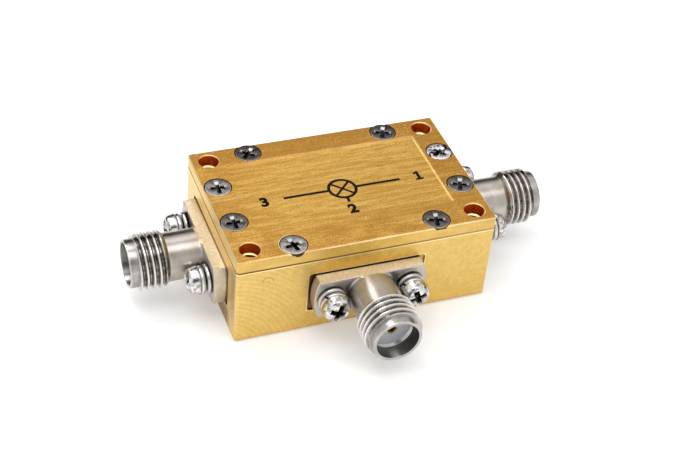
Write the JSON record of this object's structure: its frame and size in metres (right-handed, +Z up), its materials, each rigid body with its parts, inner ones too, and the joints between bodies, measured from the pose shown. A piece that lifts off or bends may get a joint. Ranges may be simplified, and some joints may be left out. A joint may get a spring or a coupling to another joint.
{
  "type": "coaxial microwave mixer module",
  "caption": "Milled gold-plated mixer block with a screwed lid, corner mounting holes and three flanged threaded coaxial sockets.",
  "frame": {"origin": "centre of the flat underside of the body, on the plane that it stands on", "axes": "+X out of port 1, -X out of port 3, -Y out of port 2, +Z up through the lid"},
  "size_m": [0.0476, 0.0283, 0.0111],
  "materials": {
    "housing_plating": "gold plated",
    "lid_plating": "gold plated",
    "contact_plating": "gold plated",
    "carrier_plating": "gold plated",
    "connector_steel": "passivated, turned",
    "lid_screw_steel": "satin",
    "flange_screw_steel": "bright nickel",
    "washer_steel": "bright",
    "insulator_plastic": "smooth",
    "bead_glass": "fused",
    "substrate_ceramic": "polished ceramic",
    "chip": "polished semiconductor"
  },
  "bodies": {
    "root": {"housing": "housing_plating", "lid": "lid_plating", "lid_screws": "lid_screw_steel", "port_1_shell": "connector_steel", "port_2_shell": "connector_steel", "port_3_shell": "connector_steel", "port_1_insulator": "insulator_plastic", "port_2_insulator": "insulator_plastic", "port_3_insulator": "insulator_plastic", "port_1_contact": "contact_plating", "port_2_contact": "contact_plating", "port_3_contact": "contact_plating", "port_1_bead_ring": "contact_plating", "port_2_bead_ring": "contact_plating", "port_3_bead_ring": "contact_plating", "port_1_bead_glass": "bead_glass", "port_2_bead_glass": "bead_glass", "port_3_bead_glass": "bead_glass", "port_1_pin": "contact_plating", "port_2_pin": "contact_plating", "port_3_pin": "contact_plating", "flange_screws": "flange_screw_steel", "lock_washers": "washer_steel", "flat_washers": "washer_steel", "carrier": "carrier_plating", "port_1_substrate": "substrate_ceramic", "port_2_substrate": "substrate_ceramic", "port_3_substrate": "substrate_ceramic", "microstrip_lines": "contact_plating", "mixer_chip": "chip", "bond_ribbons": "contact_plating"}
  },
  "joints": []
}
